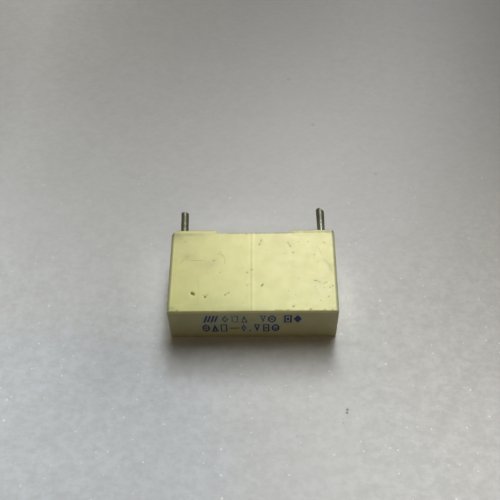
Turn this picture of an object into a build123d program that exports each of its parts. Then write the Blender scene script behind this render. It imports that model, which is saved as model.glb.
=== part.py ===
from build123d import *
import math
import os

# Box-type polyester film capacitor with two radial leads, lying on one of its
# large side faces.  Millimetres.
#
# Frame: origin on the resting face (z = 0), at the middle of the case's plan.
#   +X along the long side of the case (the lead pitch)
#   +Y out of the open, potted end, the way the leads point
#   +Z up, through the thickness of the case

# ------------------------------------------------------------------ dimensions
CASE_L = 17.56         # length of the case, X
CASE_H = 10.2          # closed end to the ends of the standoff feet, Y
CASE_T = 5.3           # thickness, Z
DRAFT = 0.01           # each end wall is this much narrower at the closed end
WALL = 0.60            # side walls
END_WALL = 0.70        # closed end
R_LONG = 0.30          # four long edges that run out of the closed end
R_CLOSED = 0.25        # edges round the closed end

FOOT_H = 0.37          # standoff feet above the rim
FOOT_INSET = 0.04      # feet stand this far inside the case's outer faces
FOOT_LEFT = (-3.88, -4.03)    # inner end of the left foot: x at the rim, x at the foot's end
FOOT_RIGHT = (3.79, 4.24)     # inner end of the right foot: the same, a sloping step
R_CORNER_LEFT = 0.80   # outer corner of the open end, left
R_CORNER_RIGHT = 0.30  # outer corner of the open end, right

RIDGE_X = -0.10        # fine witness ridge along the middle of the upper large face
RIDGE_W = 0.44
RIDGE_TOP_W = 0.16
RIDGE_H = 0.02

R_CAVITY = 0.35        # inside corners of the cavity
FILL_BELOW_RIM = 0.32  # resin surface below the rim
MENISCUS = 0.15        # resin climbs this far up the walls and the wires

ROLL_LEN = 13.2        # wound film, along X between the sprayed ends
ROLL_W = 7.4           # along Y
ROLL_T = 3.5           # along Z
ROLL_CLEAR = 0.30      # resin under the roll at the closed end
SPRAY = 0.65           # sprayed metal on each end of the roll
SPRAY_OVER = 0.05      # the spray spreads this far past the roll's section

PITCH = 15.24          # lead pitch, six steps of 2.54
LEAD_D = 0.80          # tinned wire
LEAD_IN = 2.5          # inner end of each wire above the closed end
LEFT_OUT = 4.27        # left lead beyond the feet, at the middle of its cut end
RIGHT_OUT = 4.65       # right lead beyond the feet, at the middle of its cut end
LEFT_LEAN = (-1.8, 0.0)   # degrees, along X and along Z
RIGHT_LEAN = (-0.4, 0.8)
# slope of each cut end, change in Y per unit of X, on the -X and the +X side of the wire's axis
LEFT_CUT = (-0.10, -0.10)
RIGHT_CUT = (0.06, -0.60)
BEND_ABOVE_FOOT = 0.02 # where the leads leave the straight, above the foot plane
R_BEND = 8.0

# ------------------------------------------------------------------ levels
y_closed = -CASE_H / 2
y_foot = CASE_H / 2
y_rim = y_foot - FOOT_H
y_fill = y_rim - FILL_BELOW_RIM
z_mid = CASE_T / 2
half = CASE_L / 2

os.makedirs("parts", exist_ok=True)


def prism_z(points, z0, z1):
    """Plan outline in X and Y, extruded from z0 to z1."""
    face = make_face(Polyline(*points, close=True))
    return extrude(Pos(0, 0, z0) * face, amount=z1 - z0)


def block(x0, x1, y0, y1, z0, z1):
    return Pos((x0 + x1) / 2, (y0 + y1) / 2, (z0 + z1) / 2) * Box(x1 - x0, y1 - y0, z1 - z0)


def section_x(y0, y1, z0, z1, r, x0, x1):
    """Rounded rectangle in Y and Z, extruded along X."""
    sk = Plane.YZ.offset(x0) * Pos((y0 + y1) / 2, (z0 + z1) / 2) * RectangleRounded(y1 - y0, z1 - z0, r)
    return extrude(sk, amount=x1 - x0)


def section_y(x0, x1, z0, z1, r, y0, y1):
    """Rounded rectangle in X and Z, extruded along Y."""
    sk = Plane((0, y0, 0), x_dir=(1, 0, 0), z_dir=(0, 1, 0)) * Pos((x0 + x1) / 2, -(z0 + z1) / 2) * RectangleRounded(x1 - x0, z1 - z0, r)
    return extrude(sk, amount=y1 - y0)


# ------------------------------------------------------------------ case
# outer shell: end walls with a little draft, large faces parallel
outer = prism_z(
    [
        (-half + DRAFT, y_closed),
        (half - DRAFT, y_closed),
        (half, y_foot),
        (-half, y_foot),
    ],
    0,
    CASE_T,
)
# corners of the open end, as seen in plan
far = outer.edges().filter_by(Axis.Z).filter_by(lambda e: e.center().Y > 0)
left_edge = [e for e in far if e.center().X < 0]
right_edge = [e for e in far if e.center().X > 0]
outer = fillet(left_edge, R_CORNER_LEFT)
right_edge = [e for e in outer.edges().filter_by(Axis.Z) if e.center().Y > 4 and e.center().X > half - 0.2]
outer = fillet(right_edge, R_CORNER_RIGHT)
# the four long edges, with the rounded corners they run into
long_edges = [
    e
    for e in outer.edges()
    if abs(e.center().X) > half - 0.35
    and (abs(e.center().Z) < 1e-6 or abs(e.center().Z - CASE_T) < 1e-6)
    and (e.length > 5 or e.geom_type == GeomType.CIRCLE)
]
outer = fillet(long_edges, R_LONG)
# edges round the closed end
closed_face = outer.faces().sort_by(Axis.Y)[0]
outer = fillet(closed_face.edges(), R_CLOSED)

# feet: above the rim the solid steps in by FOOT_INSET all round, and the long
# sides are cut away between the feet
foot_zone = block(-half - 1, half + 1, y_rim, y_foot + 1, -1, CASE_T + 1)
foot_core = section_y(
    -half + FOOT_INSET, half - FOOT_INSET, FOOT_INSET, CASE_T - FOOT_INSET, R_LONG, y_rim - 1, y_foot + 1
)
feet = outer & foot_zone & foot_core
gap = prism_z(
    [
        (FOOT_LEFT[0], y_rim - 0.0),
        (FOOT_RIGHT[0], y_rim - 0.0),
        (FOOT_RIGHT[1], y_foot),
        (FOOT_RIGHT[1] + (FOOT_RIGHT[1] - FOOT_RIGHT[0]), y_foot + FOOT_H),
        (FOOT_LEFT[1] + (FOOT_LEFT[1] - FOOT_LEFT[0]), y_foot + FOOT_H),
        (FOOT_LEFT[1], y_foot),
    ],
    -1,
    CASE_T + 1,
)
feet = feet - gap
body = (outer - foot_zone) + feet

# witness ridge along the middle of the upper large face
ridge_sk = Plane((0, y_closed + R_CLOSED, 0), x_dir=(1, 0, 0), z_dir=(0, 1, 0)) * make_face(
    Polyline(
        (RIDGE_X - RIDGE_W / 2, -(CASE_T - 0.05)),
        (RIDGE_X + RIDGE_W / 2, -(CASE_T - 0.05)),
        (RIDGE_X + RIDGE_W / 2, -CASE_T),
        (RIDGE_X + RIDGE_TOP_W / 2, -(CASE_T + RIDGE_H)),
        (RIDGE_X - RIDGE_TOP_W / 2, -(CASE_T + RIDGE_H)),
        (RIDGE_X - RIDGE_W / 2, -CASE_T),
        close=True,
    )
)
ridge = extrude(ridge_sk, amount=y_rim - (y_closed + R_CLOSED))
body = body + ridge

cavity = section_y(
    -half + WALL, half - WALL, WALL, CASE_T - WALL, R_CAVITY, y_closed + END_WALL, y_foot + 1
)
case = body - cavity

# ------------------------------------------------------------------ wound film and its sprayed ends
roll_y0 = y_closed + END_WALL + ROLL_CLEAR
roll_y1 = roll_y0 + ROLL_W
roll_z0 = z_mid - ROLL_T / 2
roll_z1 = z_mid + ROLL_T / 2
film_winding = section_x(
    roll_y0, roll_y1, roll_z0, roll_z1, ROLL_T / 2 - 0.02, -ROLL_LEN / 2, ROLL_LEN / 2
)


def spray(sign):
    x_in, x_out = ROLL_LEN / 2, ROLL_LEN / 2 + SPRAY
    x0, x1 = (x_in, x_out) if sign > 0 else (-x_out, -x_in)
    body_ = section_x(
        roll_y0 - SPRAY_OVER,
        roll_y1 + SPRAY_OVER,
        roll_z0 - SPRAY_OVER,
        roll_z1 + SPRAY_OVER,
        ROLL_T / 2 - 0.02 + SPRAY_OVER,
        x0,
        x1,
    )
    # rough sprayed edge, rounded on its outer face
    outer_face = body_.faces().sort_by(Axis.X)[-1 if sign > 0 else 0]
    return fillet(outer_face.edges(), 0.18)


# ------------------------------------------------------------------ leads
def lead(sign, out, lean, cut, ease):
    """Wire from LEAD_IN above the closed end, through the resin, to its cut end.

    The cut end's edge is eased by a small radius; where the two halves of the
    cut differ in slope, the +X half is then sheared back and left sharp.
    """
    x = sign * PITCH / 2
    y_in = y_closed + LEAD_IN
    y_bend = y_foot + BEND_ABOVE_FOOT
    tx, tz = (math.tan(math.radians(a)) for a in lean)
    run = y_foot + out + 0.8 - y_bend
    path = FilletPolyline(
        (x, y_in, z_mid),
        (x, y_bend, z_mid),
        (x + run * tx, y_bend + run, z_mid + run * tz),
        radius=R_BEND,
    )
    start = Plane(origin=(x, y_in, z_mid), z_dir=(0, 1, 0))
    wire = sweep(start * Circle(LEAD_D / 2), path=path)
    # the cutter's plane, through the wire's axis at the stated length
    y_cut = y_foot + out
    xc = x + (y_cut - y_bend) * tx
    wire = wire - prism_z(
        [
            (xc - 1.5, y_cut - 1.5 * cut[0]),
            (xc + 1.5, y_cut + 1.5 * cut[0]),
            (xc + 1.5, y_cut + 3),
            (xc - 1.5, y_cut + 3),
        ],
        0,
        CASE_T + 2,
    )
    end = wire.faces().filter_by(GeomType.PLANE).sort_by(Axis.Y)[-1]
    wire = fillet(end.edges(), ease)
    if cut[1] != cut[0]:
        wire = wire - prism_z(
            [(xc, y_cut), (xc + 1.5, y_cut + 1.5 * cut[1]), (xc + 1.5, y_cut + 3), (xc, y_cut + 3)],
            0,
            CASE_T + 2,
        )
    return wire


left_lead = lead(-1, LEFT_OUT, LEFT_LEAN, LEFT_CUT, 0.08)
right_lead = lead(1, RIGHT_OUT, RIGHT_LEAN, RIGHT_CUT, 0.05)

left_end_spray = spray(-1) - left_lead
right_end_spray = spray(1) - right_lead

# ------------------------------------------------------------------ potting resin
cav = (-half + WALL, half - WALL, WALL, CASE_T - WALL, R_CAVITY)
fill = section_y(*cav, y_closed + END_WALL, y_fill + MENISCUS)
# dished surface: a concave rise along the walls
dish = section_y(*cav, y_fill, y_foot + 1)
dish = fillet(dish.faces().sort_by(Axis.Y)[0].edges(), MENISCUS)
fill = fill - dish
# and a concave collar round each wire
for wire, x in ((left_lead, -PITCH / 2), (right_lead, PITCH / 2)):
    at = Pos(x, y_fill, z_mid) * Rot(-90, 0, 0)
    collar = at * (
        Pos(0, 0, (MENISCUS - 0.3) / 2) * Cylinder(LEAD_D / 2 + MENISCUS, MENISCUS + 0.3)
        - Pos(0, 0, MENISCUS) * Torus(LEAD_D / 2 + MENISCUS, MENISCUS)
    )
    fill = fill + (collar & section_y(*cav, y_fill - 1, y_foot))
potting_resin = fill - film_winding - left_end_spray - right_end_spray - left_lead - right_lead

nodes = {
    "case": case,
    "potting_resin": potting_resin,
    "film_winding": film_winding,
    "left_end_spray": left_end_spray,
    "right_end_spray": right_end_spray,
    "left_lead": left_lead,
    "right_lead": right_lead,
}

for name, solid in nodes.items():
    s = solid.solids()
    print(f"{name:16s} solids {len(s)}  volume {sum(x.volume for x in s):8.3f} mm3")
    export_step(solid if len(s) > 1 else s[0], f"parts/{name}.step")
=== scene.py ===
import math

import bpy
import bmesh
import numpy as np
from mathutils import Matrix, Vector


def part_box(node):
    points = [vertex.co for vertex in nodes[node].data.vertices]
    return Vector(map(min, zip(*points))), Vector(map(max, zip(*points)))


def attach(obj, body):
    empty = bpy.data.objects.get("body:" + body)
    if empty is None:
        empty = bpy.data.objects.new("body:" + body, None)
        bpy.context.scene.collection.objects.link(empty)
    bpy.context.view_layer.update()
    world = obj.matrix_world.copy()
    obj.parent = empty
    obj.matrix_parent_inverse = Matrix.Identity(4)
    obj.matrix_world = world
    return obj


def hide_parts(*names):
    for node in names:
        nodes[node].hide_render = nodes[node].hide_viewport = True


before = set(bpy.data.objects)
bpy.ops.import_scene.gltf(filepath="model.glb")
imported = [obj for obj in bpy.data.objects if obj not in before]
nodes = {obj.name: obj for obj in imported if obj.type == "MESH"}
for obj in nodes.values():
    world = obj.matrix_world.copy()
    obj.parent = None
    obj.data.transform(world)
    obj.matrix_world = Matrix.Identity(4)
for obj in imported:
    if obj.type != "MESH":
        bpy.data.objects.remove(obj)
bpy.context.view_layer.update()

scene = bpy.context.scene
MM = 0.001

# ------------------------------------------------------------------ places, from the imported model
case_lo, case_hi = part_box("case")
resin_lo, resin_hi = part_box("potting_resin")
left_lo, left_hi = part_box("left_lead")
right_lo, right_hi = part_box("right_lead")

HALF = 8.78                       # half the case's length at its open end, mm
Y_NEAR = case_lo.y / MM           # closed end
Y_FOOT = case_hi.y / MM           # ends of the feet
T = 5.3                           # large faces are at 0 and T
DRAFT = 0.01
FOOT_H = 0.37
Y_RIM = Y_FOOT - FOOT_H
INK_T = 0.007                     # the print's thickness; the closed end lies this far back
R_LONG = 0.30
R_CLOSED = 0.15
R_CORNER_L = 0.80
R_CORNER_R = 0.30
WALL = 0.60
END_WALL = 0.70
R_CAV = 0.35
RIDGE_X = -0.10

rng = np.random.default_rng(41)


# ------------------------------------------------------------------ smooth noise for shapes (seeded, numpy)
def lattice(seed):
    r = np.random.default_rng(seed)
    return r.random((64, 64, 64)).astype(np.float64) * 2 - 1


_lat = lattice(7)


def vnoise(x, y, z, scale, seed=0):
    """Value noise of about -1 to 1; scale is the size of a cell."""
    x = np.asarray(x, float) / scale + seed * 17.13
    y = np.asarray(y, float) / scale + seed * 5.71
    z = np.asarray(z, float) / scale + seed * 9.37
    xi, yi, zi = np.floor(x).astype(int), np.floor(y).astype(int), np.floor(z).astype(int)
    fx, fy, fz = x - xi, y - yi, z - zi
    fx, fy, fz = (f * f * (3 - 2 * f) for f in (fx, fy, fz))
    out = 0.0
    for dx in (0, 1):
        for dy in (0, 1):
            for dz in (0, 1):
                w = (fx if dx else 1 - fx) * (fy if dy else 1 - fy) * (fz if dz else 1 - fz)
                out = out + w * _lat[(xi + dx) % 64, (yi + dy) % 64, (zi + dz) % 64]
    return out


def fbm(x, y, z, scale, seed=0, octaves=3):
    out, amp, tot = 0.0, 1.0, 0.0
    for o in range(octaves):
        out = out + amp * vnoise(x, y, z, scale / 2**o, seed + o)
        tot += amp
        amp *= 0.5
    return out / tot


def smooth(e0, e1, x):
    t = np.clip((np.asarray(x, float) - e0) / (e1 - e0), 0, 1)
    return t * t * (3 - 2 * t)


# ------------------------------------------------------------------ marks on the large upper face, in mm
# dark specks: x, y, half-length, half-width, angle in degrees, darkness
SPECKS = [
    (-6.19, -2.95, 0.22, 0.16, -25, 1.00),
    (-6.07, -3.08, 0.12, 0.08, -40, 0.85),
    (-6.31, -2.84, 0.13, 0.11, 20, 0.95),
    (-4.89, -3.34, 0.14, 0.11, 10, 0.90),
    (-5.04, -3.18, 0.09, 0.05, -40, 0.45),
    (-4.69, -3.11, 0.07, 0.05, 40, 0.45),
    (-2.84, -3.12, 0.14, 0.055, 32, 0.66),
    (-2.53, -2.88, 0.10, 0.065, 35, 0.66),
    (-7.29, 3.58, 0.08, 0.05, 0, 0.42),
    (-4.16, 1.12, 0.11, 0.06, 5, 0.50),
    (-3.44, -0.38, 0.08, 0.07, 0, 0.50),
    (-1.72, 0.45, 0.05, 0.04, 0, 0.22),
    (-0.60, -0.38, 0.12, 0.08, 20, 0.38),
    (-0.11, -0.07, 0.17, 0.06, 0, 0.42),
    (-0.59, -1.99, 0.09, 0.07, 0, 0.34),
    (0.86, 3.66, 0.18, 0.045, 72, 0.46),
    (0.71, 3.22, 0.20, 0.045, 68, 0.56),
    (3.78, 3.30, 0.16, 0.045, -55, 0.42),
    (3.95, 2.98, 0.15, 0.05, -60, 0.62),
    (4.83, 3.49, 0.07, 0.05, 0, 0.34),
    (5.90, 3.50, 0.05, 0.10, 0, 0.34),
    (7.60, 3.38, 0.15, 0.05, -35, 0.38),
    (4.25, 2.10, 0.09, 0.055, 0, 0.58),
    (3.40, 1.93, 0.09, 0.06, 0, 0.30),
    (6.52, 1.85, 0.08, 0.06, 30, 0.42),
    (5.74, 1.82, 0.05, 0.05, 0, 0.20),
    (6.83, 0.87, 0.06, 0.05, 0, 0.26),
    (0.96, -1.97, 0.22, 0.085, 57, 0.58),
    (1.89, -0.32, 0.06, 0.04, 0, 0.20),
    (4.69, -1.17, 0.06, 0.06, 0, 0.32),
    (4.15, -1.16, 0.05, 0.05, 0, 0.22),
    (6.52, -1.44, 0.17, 0.045, -4, 0.78),
    (6.86, -1.60, 0.10, 0.045, -35, 0.42),
    (7.61, -1.62, 0.15, 0.05, -20, 0.50),
    (7.36, -1.86, 0.10, 0.05, 25, 0.30),
    (7.97, -2.30, 0.07, 0.10, 0, 0.30),
    (8.24, -2.10, 0.06, 0.08, 0, 0.60),
    (7.39, -2.31, 0.07, 0.05, 0, 0.38),
    (7.74, -3.39, 0.11, 0.07, 30, 0.34),
    (6.94, -3.86, 0.08, 0.05, 0, 0.34),
    (3.68, -2.71, 0.09, 0.07, 30, 0.26),
    (4.37, -3.17, 0.07, 0.06, 0, 0.26),
    (-0.99, -4.05, 0.08, 0.05, -30, 0.34),
    (4.14, -4.52, 0.12, 0.09, 20, 0.52),
    (1.38, 2.47, 0.05, 0.04, 0, 0.18),
    (-7.72, -4.93, 0.14, 0.045, 10, 0.55),
    (5.89, -4.86, 0.13, 0.05, 0, 0.55),
    (7.28, -4.92, 0.08, 0.05, 0, 0.50),
    (8.06, -4.93, 0.05, 0.045, 0, 0.45),
    (2.60, -4.98, 0.34, 0.03, 0, 0.45),
    (3.55, -4.97, 0.22, 0.03, 0, 0.45),
]
# scratches and hair lines: points, half-width, strength (below 0 is a pale, burnished line)
SCRATCHES = [
    ([(-7.64, 0.79), (-7.45, 1.10), (-7.20, 1.40), (-6.77, 1.82)], 0.045, 0.42),
    ([(-7.07, 1.21), (-6.0, 1.17), (-5.37, 1.15), (-5.02, 1.12)], 0.030, 0.62),
    ([(-3.72, 2.03), (-3.40, 1.90), (-3.15, 1.62), (-2.99, 1.36), (-2.93, 0.75)], 0.055, 0.34),
    ([(-3.46, 2.28), (-3.06, 1.71)], 0.040, 0.52),
    ([(-0.85, -1.87), (-0.13, -1.88)], 0.035, 0.26),
    ([(6.84, 2.82), (7.19, 2.01), (7.49, 1.24), (7.93, 0.54), (8.15, 0.02), (8.35, -0.53)], 0.055, 0.26),
    ([(7.60, 1.05), (7.95, 0.50), (8.22, -0.15)], 0.120, 0.27),
    ([(6.37, -2.05), (6.60, -2.60), (6.78, -3.12)], 0.045, 0.22),
    ([(0.38, 0.32), (0.72, -0.40), (1.04, -1.09)], 0.045, 0.07),
    ([(-5.75, -0.85), (-5.60, -2.2), (-5.66, -4.4)], 0.050, 0.16),
    ([(-4.9, 0.0), (-4.3, 0.6), (-3.75, 1.5)], 0.05, 0.16),
    ([(2.1, -3.9), (3.4, -3.5), (4.9, -3.72)], 0.04, 0.06),
    ([(-7.9, -3.9), (-6.9, -4.25), (-5.2, -4.3)], 0.04, 0.16),
    ([(1.7, 4.1), (2.5, 3.3), (2.9, 2.4)], 0.04, 0.05),
    ([(-2.4, 3.9), (-1.9, 2.6)], 0.03, 0.12),
    ([(5.2, -0.4), (5.9, 0.5)], 0.03, 0.05),
    ([(7.25, -1.42), (7.62, -1.46), (7.86, -1.70)], 0.050, -0.75),
    ([(7.15, -1.98), (7.42, -2.02), (7.60, -1.92)], 0.045, -0.60),
    ([(7.75, -2.62), (8.05, -2.55)], 0.040, -0.55),
    ([(5.60, -1.50), (6.00, -1.48)], 0.045, -0.25),
    ([(6.42, 1.98), (6.78, 1.90)], 0.045, -0.60),
    ([(7.26, 1.62), (7.38, 1.40)], 0.040, -0.30),
    ([(-3.34, 2.24), (-3.02, 1.86)], 0.040, -0.55),
    ([(-4.75, -3.22), (-4.62, -3.36)], 0.040, -0.45),
    ([(4.20, 4.05), (5.60, 4.12)], 0.050, -0.30),
]
# soft stains and broad patches of tone: x, y, radius x, radius y, how much darker (below 0 is paler than the rest)
STAINS = [
    (-4.88, 0.68, 1.15, 0.55, 0.13),
    (-6.90, 1.60, 1.00, 0.70, 0.10),
    (-8.30, 4.50, 0.62, 0.55, 0.24),
    (-7.90, 4.10, 0.90, 0.70, 0.08),
    (-6.70, 4.25, 1.60, 0.45, 0.09),
    (-7.50, 2.90, 1.10, 1.20, 0.06),
    (-8.50, -0.50, 0.35, 3.60, 0.07),
    (-5.20, -4.80, 4.00, 0.45, 0.12),
    (-1.20, -4.85, 2.40, 0.36, 0.14),
    (1.60, -4.75, 1.20, 0.45, 0.08),
    (-4.30, -3.95, 2.60, 0.60, 0.08),
    (-6.40, -3.60, 1.40, 0.80, 0.05),
    (-2.30, 3.00, 1.90, 1.30, -0.08),
    (-0.30, 3.90, 1.60, 0.80, -0.05),
    (2.20, -2.60, 1.30, 1.00, -0.06),
    (3.00, -1.20, 1.30, 0.60, -0.04),
    (-2.90, -1.60, 1.00, 0.70, -0.04),
    (3.30, 3.75, 1.30, 0.45, 0.05),
    (6.80, 4.40, 1.80, 0.42, 0.10),
    (8.20, 4.55, 0.60, 0.60, 0.12),
    (8.15, -1.70, 0.70, 3.00, 0.09),
    (8.12, 0.32, 0.26, 0.42, 0.12),
    (7.90, 1.90, 0.50, 0.80, -0.05),
    (6.70, -2.20, 1.20, 1.60, 0.06),
    (5.00, -3.00, 0.70, 0.50, 0.07),
    (4.00, 1.00, 1.80, 0.80, 0.03),
    (6.20, -4.40, 2.00, 0.50, 0.02),
    (-8.35, -4.75, 0.40, 0.30, 0.27),
    (7.80, -4.72, 0.60, 0.28, 0.06),
    (-0.20, 0.60, 4.40, 5.00, -0.036),
    (8.20, 2.50, 0.90, 3.50, 0.028),
    (-6.60, 3.40, 1.40, 0.80, 0.03),
    (-3.20, -3.60, 1.50, 0.80, 0.03),
    (8.30, -4.80, 0.40, 0.25, 0.07),
]


def seg_distance(px, py, a, b):
    ax, ay = a
    bx, by = b
    dx, dy = bx - ax, by - ay
    t = np.clip(((px - ax) * dx + (py - ay) * dy) / (dx * dx + dy * dy + 1e-12), 0, 1)
    return np.hypot(px - ax - t * dx, py - ay - t * dy), t


# ------------------------------------------------------------------ mesh helpers
def new_object(name, verts_mm, faces, smooth_angle=None):
    me = bpy.data.meshes.new(name)
    me.from_pydata([tuple(v) for v in np.asarray(verts_mm) * MM], [], [tuple(int(i) for i in f) for f in faces])
    me.update()
    ob = bpy.data.objects.new(name, me)
    scene.collection.objects.link(ob)
    return ob


def set_attr(ob, name, values):
    at = ob.data.attributes.get(name) or ob.data.attributes.new(name, "FLOAT", "POINT")
    at.data.foreach_set("value", np.asarray(values, np.float32))


def tidy(ob, dist=2e-7):
    bm = bmesh.new()
    bm.from_mesh(ob.data)
    bmesh.ops.remove_doubles(bm, verts=bm.verts, dist=dist)
    bad = [f for f in bm.faces if f.calc_area() < 1e-16]
    if bad:
        bmesh.ops.delete(bm, geom=bad, context="FACES_ONLY")
    bmesh.ops.recalc_face_normals(bm, faces=bm.faces)
    open_edges = [e for e in bm.edges if not e.is_manifold]
    bm.to_mesh(ob.data)
    bm.free()
    ob.data.update()
    print("mesh", ob.name, "verts", len(ob.data.vertices), "faces", len(ob.data.polygons), "open edges", len(open_edges))


def shade(ob, angle_deg):
    bpy.context.view_layer.objects.active = ob
    for o in bpy.context.selected_objects:
        o.select_set(False)
    ob.select_set(True)
    for p in ob.data.polygons:
        p.use_smooth = True
    ob.data.set_sharp_from_angle(angle=math.radians(angle_deg))
    ob.select_set(False)


# ------------------------------------------------------------------ the case
def columns():
    """X positions of the columns across the large faces, denser over the witness ridge."""
    a = HALF - R_LONG
    dens = lambda x: 0.088 - 0.046 * math.exp(-(((x - RIDGE_X) / 0.42) ** 2))
    xs = [-a]
    while xs[-1] < a:
        xs.append(xs[-1] + dens(xs[-1]))
    xs = np.array(xs)
    xs = (xs - xs[0]) / (xs[-1] - xs[0]) * 2 * a - a
    # columns that fall exactly on the inner ends of the feet
    for pair in ((-4.03, -3.88), (3.79, 4.24)):
        n0 = int(np.argmin(np.abs(xs - pair[0])))
        n1 = max(n0 + 1, int(np.argmin(np.abs(xs - pair[1]))))
        xs[n0 - 6:n0] += (pair[0] - xs[n0]) * np.linspace(0.1, 0.9, 6)
        xs[n1 + 1:n1 + 7] += (pair[1] - xs[n1]) * np.linspace(0.9, 0.1, 6)
        xs[n0:n1 + 1] = np.linspace(pair[0], pair[1], n1 - n0 + 1)
    return xs


COLS = columns()
N_T = len(COLS) - 1
N_S = 34
N_C = 6


def ring(hx, z0, z1, r):
    """Rounded rectangle in X and Z: top left to top right, down, back along the bottom, and up."""
    cols = COLS / COLS[-1] * (hx - r)
    rows = np.linspace(z1 - r, z0 + r, N_S + 1)
    pts = []
    pts += [(x, z1) for x in cols]
    for i in range(1, N_C):
        f = math.pi / 2 * i / N_C
        pts.append((hx - r + r * math.sin(f), z1 - r + r * math.cos(f)))
    pts += [(hx, z) for z in rows]
    for i in range(1, N_C):
        f = math.pi / 2 * i / N_C
        pts.append((hx - r + r * math.cos(f), z0 + r - r * math.sin(f)))
    pts += [(x, z0) for x in cols[::-1]]
    for i in range(1, N_C):
        f = math.pi / 2 * i / N_C
        pts.append((-hx + r - r * math.sin(f), z0 + r - r * math.cos(f)))
    pts += [(-hx, z) for z in rows[::-1]]
    for i in range(1, N_C):
        f = math.pi / 2 * i / N_C
        pts.append((-hx + r - r * math.cos(f), z1 - r + r * math.sin(f)))
    return np.array(pts)


def outer_ring(y, d):
    hx = HALF - DRAFT * (Y_FOOT - y) / (Y_FOOT - Y_NEAR)
    return ring(hx - d, d, T - d, max(R_LONG - d, 0.05))


K = len(outer_ring(0, 0))
foot_x = outer_ring(Y_FOOT, 0)[:, 0]
F = np.maximum(np.clip((-3.88 - foot_x) / 0.15, 0, 1), np.clip((foot_x - 3.79) / (4.24 - 3.79), 0, 1))

stations = []          # (points K x 3, tag)
Y_FACE = Y_NEAR + INK_T


def station(xz, y, tag):
    y = np.broadcast_to(np.asarray(y, float), (len(xz),))
    stations.append((np.column_stack([xz[:, 0], y, xz[:, 1]]), tag))


for i in range(0, 6):                      # edges round the closed end
    f = math.pi / 2 * i / 5
    station(outer_ring(Y_NEAR, R_CLOSED * (1 - math.sin(f))), Y_FACE + R_CLOSED * (1 - math.cos(f)), "near")
ys = [Y_FACE + R_CLOSED]
while ys[-1] < Y_RIM - 0.16:
    step = 0.045 + 0.055 * min(1.0, (ys[-1] - Y_FACE) / 0.5)
    ys.append(ys[-1] + step)
ys = np.array(ys)
ys = (ys - ys[0]) / (ys[-1] - ys[0]) * (Y_RIM - 0.05 - ys[0]) + ys[0]
for y in ys[1:]:
    station(outer_ring(y, 0), y, "skin")
station(outer_ring(Y_RIM, 0.004), Y_RIM - 0.022, "edge")
station(outer_ring(Y_RIM, 0.016), Y_RIM - 0.005, "edge")
station(outer_ring(Y_RIM, 0.034), Y_RIM, "edge")
station(outer_ring(Y_RIM, 0.044), Y_RIM - 0.012 * F, "edge")     # fine groove at the foot of each standoff
station(outer_ring(Y_RIM, 0.046), Y_RIM + 0.03 * F, "foot")
station(outer_ring(Y_RIM, 0.046), Y_RIM + 0.12 * F, "foot")
station(outer_ring(Y_RIM, 0.046), Y_RIM + 0.21 * F, "foot")
station(outer_ring(Y_FOOT, 0.046), Y_RIM + (FOOT_H - 0.07) * F, "foot")
station(outer_ring(Y_FOOT, 0.054), Y_RIM + (FOOT_H - 0.032) * F, "foot")
station(outer_ring(Y_FOOT, 0.075), Y_RIM + (FOOT_H - 0.009) * F, "foot")
station(outer_ring(Y_FOOT, 0.108), Y_RIM + FOOT_H * F, "foot")
cav = ring(HALF - WALL, WALL, T - WALL, R_CAV)
rim_outer = outer_ring(Y_FOOT, 0.108)
for t in (0.35, 0.7, 0.93):
    station(rim_outer * (1 - t) + cav * t, Y_RIM + FOOT_H * F, "rim")
station(cav, Y_RIM + FOOT_H * F - 0.035, "cavity")
n_in = 7
for i in range(1, n_in + 1):
    t = i / n_in
    top = Y_RIM + FOOT_H * F - 0.035
    station(cav, top * (1 - t) + (Y_NEAR + END_WALL + 0.12) * t, "cavity")
for i in range(1, 4):
    f = math.pi / 2 * i / 3
    q = ring(HALF - WALL - 0.12 * (1 - math.cos(f)), WALL + 0.12 * (1 - math.cos(f)), T - WALL - 0.12 * (1 - math.cos(f)), R_CAV - 0.12 * (1 - math.cos(f)))
    station(q, Y_NEAR + END_WALL + 0.12 * (1 - math.sin(f)), "cavity")

V = np.concatenate([s[0] for s in stations])
tags = np.concatenate([[s[1]] * K for s in stations])
S = len(stations)
quads = []
for s in range(S - 1):
    a0, b0 = s * K, (s + 1) * K
    for k in range(K):
        k2 = (k + 1) % K
        quads.append((a0 + k, a0 + k2, b0 + k2, b0 + k))

# flat of the closed end: a grid with the ring's own columns and rows
c_rows = np.linspace(T - R_LONG, R_LONG, N_S + 1)
hx_near = HALF - DRAFT
c_cols = COLS / COLS[-1] * (hx_near - R_LONG)
base = len(V)
grid = np.array([[(x, Y_FACE, z) for x in c_cols] for z in c_rows]).reshape(-1, 3)
V = np.concatenate([V, grid])
tags = np.concatenate([tags, ["face"] * len(grid)])
G = lambda j, i: base + j * (N_T + 1) + i
i_top = 0
i_arc1 = N_T + 1
i_right = N_T + N_C
i_arc2 = i_right + N_S + 1
i_bot = i_right + N_S + N_C
i_arc3 = i_bot + N_T + 1
i_left = i_bot + N_T + N_C
i_arc4 = i_left + N_S + 1
for j in range(N_S):
    for i in range(N_T):
        quads.append((G(j, i), G(j, i + 1), G(j + 1, i + 1), G(j + 1, i)))
for i in range(N_T):
    quads.append((i_top + i, i_top + i + 1, G(0, i + 1), G(0, i)))
    quads.append((i_bot + i, i_bot + i + 1, G(N_S, N_T - i - 1), G(N_S, N_T - i)))
for j in range(N_S):
    quads.append((i_right + j, i_right + j + 1, G(j + 1, N_T), G(j, N_T)))
    quads.append((i_left + j, i_left + j + 1, G(N_S - j - 1, 0), G(N_S - j, 0)))
for start, end, corner in (
    (N_T, i_right, G(0, N_T)),
    (i_right + N_S, i_bot, G(N_S, N_T)),
    (i_bot + N_T, i_left, G(N_S, 0)),
    (i_left + N_S, K, G(0, 0)),
):
    for k in range(start, end):
        quads.append((k, (k + 1) % K, corner))
# floor of the cavity
quads.append(tuple(range((S - 1) * K, S * K)))

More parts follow.
